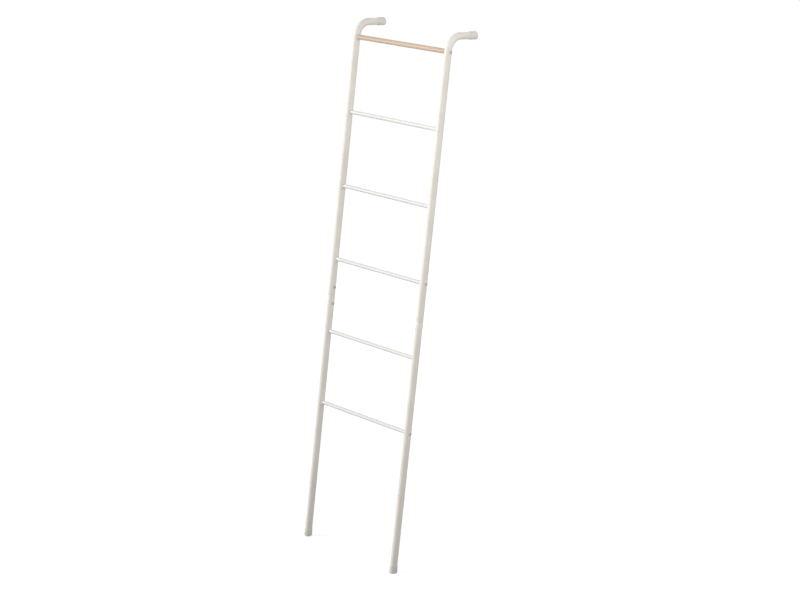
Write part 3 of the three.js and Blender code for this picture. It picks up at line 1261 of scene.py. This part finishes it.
@dataclass
class SoftBox:
    """A square area lamp that points at the rack."""

    name: str
    place: Triple
    target: Triple
    size: float
    power: float

    def build(self) -> None:
        """Make the lamp."""
        way = Vector(self.target) - Vector(self.place)
        settings = {"shape": "SQUARE", "size": self.size, "energy": self.power}
        lamp(self.name, "AREA", self.place, way, **settings)


@dataclass
class Studio:
    """A plain white room: a floor that keeps the shadow, soft light all round, a key from the left.

    Seen directly, the floor has its own tone, with a glow that brings it up to white. The light
    that it throws on the rack comes from a bounce tone, darker near the feet. That tone and the
    glow each run from a near level to a far one, over their reach from the rack's middle.
    """

    ambient: float = 0.405
    floor_half: float = 30.0
    floor_tone: float = 0.62
    bounce_tone: Pair = (0.26, 0.69)
    bounce_reach: Pair = (0.3, 1.3)
    floor_glow: Pair = (0.513, 0.675)
    glow_reach: Pair = (0.0, 2.5)
    sun_strength: float = 2.75
    sun_angle: float = math.radians(40)
    sun_direction: Triple = (0.76, 0.633, -0.15)
    boxes: tuple[SoftBox, ...] = (
        SoftBox("fill_softbox", (2.6, -1.4, 2.2), (0.0, 0.0, 1.1), 1.8, 13.0),
        SoftBox("upper_softbox", (0.9, -1.4, 2.4), (0.0, 0.0, 1.2), 0.7, 11.5),
        SoftBox("rear_softbox", (1.9, 1.0, 1.9), (0.0, 0.15, 1.3), 0.9, 11.0),
        SoftBox("back_softbox", (-1.0, 2.3, 2.2), (0.0, 0.1, 1.2), 1.4, 13.0),
    )

    def build(self) -> None:
        """Make the world, the floor and the lamps."""
        self.world()
        self.floor()
        settings = {"energy": self.sun_strength, "angle": self.sun_angle}
        lamp("soft_sun", "SUN", (0.0, 0.0, 0.0), self.sun_direction, **settings)
        for box in self.boxes:
            box.build()

    def world(self) -> None:
        """Make a world that looks white and lights the rack by the ambient level."""
        world = bpy.data.worlds.new("white_room")
        bpy.context.scene.world = world
        sheet = NodeSheet(world, "ShaderNodeOutputWorld")
        inputs = {0: sheet.seen_directly()}
        for index, strength in ((1, self.ambient), (2, 1.0)):
            light = sheet.add("ShaderNodeBackground", {"Color": WHITE, "Strength": strength})
            inputs[index] = light.outputs[0]
        mix = sheet.add("ShaderNodeMixShader", inputs)
        sheet.feed(sheet.output, {"Surface": mix.outputs[0]})

    def floor(self) -> None:
        """Make the floor and its material."""
        half = self.floor_half
        mesh = bpy.data.meshes.new("studio_floor")
        corners = [(-half, -half, 0.0), (half, -half, 0.0), (half, half, 0.0), (-half, half, 0.0)]
        mesh.from_pydata(corners, [], [(0, 1, 2, 3)])
        mesh.materials.append(self.floor_material())
        placed("studio_floor", mesh)

    def floor_material(self) -> bpy.types.Material:
        """Make the material: a diffuse tone, and a glow that only rays which see it directly meet.

        Returns:
            The material.
        """
        material = bpy.data.materials.new("studio_floor_white")
        sheet = NodeSheet(material, "ShaderNodeOutputMaterial")
        place = sheet.add("ShaderNodeTexCoord").outputs["Object"]
        radius = sheet.add("ShaderNodeVectorMath", {0: place}, operation="LENGTH").outputs["Value"]
        seen = sheet.seen_directly()
        bounce = sheet.ranged(radius, self.bounce_reach, self.bounce_tone)
        tone = sheet.add("ShaderNodeMix", {"Factor": seen, "A": bounce, "B": self.floor_tone})
        level = sheet.ranged(radius, self.glow_reach, self.floor_glow)
        glow = sheet.combined("MULTIPLY", seen, level)
        diffuse = sheet.add("ShaderNodeBsdfDiffuse", {"Color": tone.outputs["Result"]})
        emission = sheet.add("ShaderNodeEmission", {"Strength": glow})
        both = sheet.add("ShaderNodeAddShader", {0: diffuse.outputs[0], 1: emission.outputs[0]})
        sheet.feed(sheet.output, {"Surface": both.outputs[0]})
        return material


@dataclass
class PhotoCamera:
    """The camera of the photograph, without roll or shift.

    Its azimuth runs from straight in front towards the rack's right. It stands at its distance
    from the target, and from there across to its own right and up by its rise.
    """

    focal_pixels: float = 2048.569
    azimuth: float = math.radians(47.711)
    elevation: float = math.radians(15.689)
    target: Triple = (0.0, -0.055693, 0.8)
    across: float = 81.012 * MM
    rise: float = -10.492 * MM
    distance: float = 6140.761 * MM

    def build(self) -> None:
        """Make the camera the scene's own."""
        sin_a, cos_a = math.sin(self.azimuth), math.cos(self.azimuth)
        sin_e, cos_e = math.sin(self.elevation), math.cos(self.elevation)
        right = Vector((cos_a, sin_a, 0.0))
        back = Vector((sin_a * cos_e, -cos_a * cos_e, sin_e))
        up = back.cross(right)
        data = bpy.data.cameras.new("photo_camera")
        data.sensor_width = SENSOR_WIDTH_MM
        data.lens = self.focal_pixels * SENSOR_WIDTH_MM / PHOTO_WIDTH
        camera = placed("photo_camera", data)
        turn = Matrix((right, up, back)).transposed().to_4x4()
        eye = Vector(self.target) + back * self.distance + right * self.across + up * self.rise
        camera.matrix_world = Matrix.Translation(eye) @ turn
        bpy.context.scene.camera = camera


def foot_y() -> float:
    """Y at which the axes of the rails meet the floor, as the record's foot mount has it."""
    mounts = {mount["name"]: mount for mount in frame["record"]["mounts"]}
    return mounts["left_foot"]["pos_m"][1]


def main() -> None:
    """Build the rack's pieces in order, then the studio and the camera."""
    logging.basicConfig(level=logging.INFO, format="%(name)s: %(message)s")
    bpy.context.scene.view_settings.view_transform = "Standard"
    layout = Layout(foot_y())
    finishes = {
        Part.RAIL: PowderPaint(),
        # Rungs: the rails' paint made a little darker and more neutral, which is painted light and
        # shade, not a paint of their own.
        Part.RUNG: PowderPaint(((0.35, (216, 214, 211)), (0.65, (222, 220, 218)))),
        Part.BAR: PaleWood(centre=tuple(layout.to_world(layout.bar_u * Z_AXIS).tolist())),
        Part.STEEL: ZincPlate(),
        Part.INSERT: TurnedBrass(),
        Part.CAP: MouldedCap(),
    }
    materials = {part: finish.material(part.material) for part, finish in finishes.items()}
    shop = Workshop(layout, materials)
    for side in Side:
        SideRail(shop, side).build()
    for maker in (Caps, WoodenBar, Rungs, Screws):
        maker(shop).build()
    Studio().build()
    PhotoCamera().build()


if __name__ == "__main__":
    main()
